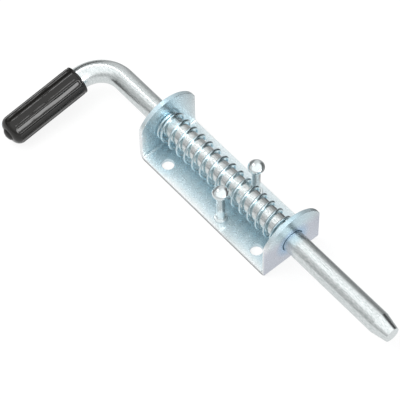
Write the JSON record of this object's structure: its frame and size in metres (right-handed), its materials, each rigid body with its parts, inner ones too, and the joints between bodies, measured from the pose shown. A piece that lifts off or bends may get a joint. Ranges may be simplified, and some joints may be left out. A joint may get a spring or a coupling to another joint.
{
  "type": "spring bolt",
  "caption": "Round spring bolt in a folded bracket with two ears, a coil spring, catch studs and a cranked handle with a fluted sleeve grip.",
  "frame": {"origin": "middle of the four mounting holes, on the bracket's back face", "axes": "+X along the bolt, out of the bracket towards its tip; +Z away from the mounting face; the handle lies towards -Y"},
  "size_m": [0.3003, 0.1095, 0.046],
  "materials": {
    "zinc_sheet": "zinc plated, satin, with a blue cast",
    "zinc_rod": "zinc plated, drawn along its length",
    "black_sleeve": "glossy black",
    "spring_wire": "bright plated wire",
    "bare_pin": "bright steel",
    "stud_steel": "bright plated"
  },
  "bodies": {
    "base": {"bracket": "zinc_sheet", "front_stud": "stud_steel", "back_stud": "stud_steel", "spring": "spring_wire"},
    "slider": {"stop_washer": "zinc_sheet"},
    "bolt": {"bolt_rod": "zinc_rod", "grip": "black_sleeve", "stop_pin": "bare_pin"}
  },
  "joints": [
    {"name": "bolt slide", "type": "slide", "parent": "base", "child": "slider", "axis": [1, 0, 0], "range_m": [-0.055, 0], "stiffness_N_per_m": 885, "springref_m": 0.025, "deforming": ["spring"]},
    {"name": "bolt turn", "type": "hinge", "parent": "slider", "child": "bolt", "pos_m": [0, 0, 0.022], "axis": [-1, 0, 0], "range_deg": [0, 195]}
  ]
}
